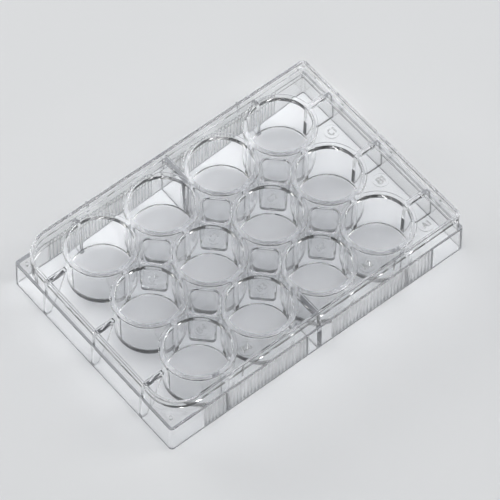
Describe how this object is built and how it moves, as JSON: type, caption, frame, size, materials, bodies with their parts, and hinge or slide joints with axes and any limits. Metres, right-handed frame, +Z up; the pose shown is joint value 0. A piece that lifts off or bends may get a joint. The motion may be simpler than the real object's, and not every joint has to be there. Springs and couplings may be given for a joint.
{
  "type": "well plate",
  "caption": "Clear moulded tray of round flat-bottomed wells in a grid, with a skirted base, a lid ledge and square pockets between the wells.",
  "frame": {"origin": "on the table, under the middle of the footprint", "axes": "+X runs along the long side from column 1 to column 4, +Y runs from row C to row A, +Z is up out of the wells"},
  "size_m": [0.1278, 0.0854, 0.0206],
  "materials": {
    "clear_polystyrene": "clear, glossy, injection moulded"
  },
  "bodies": {
    "root": {"well_plate": "clear_polystyrene"}
  },
  "joints": []
}
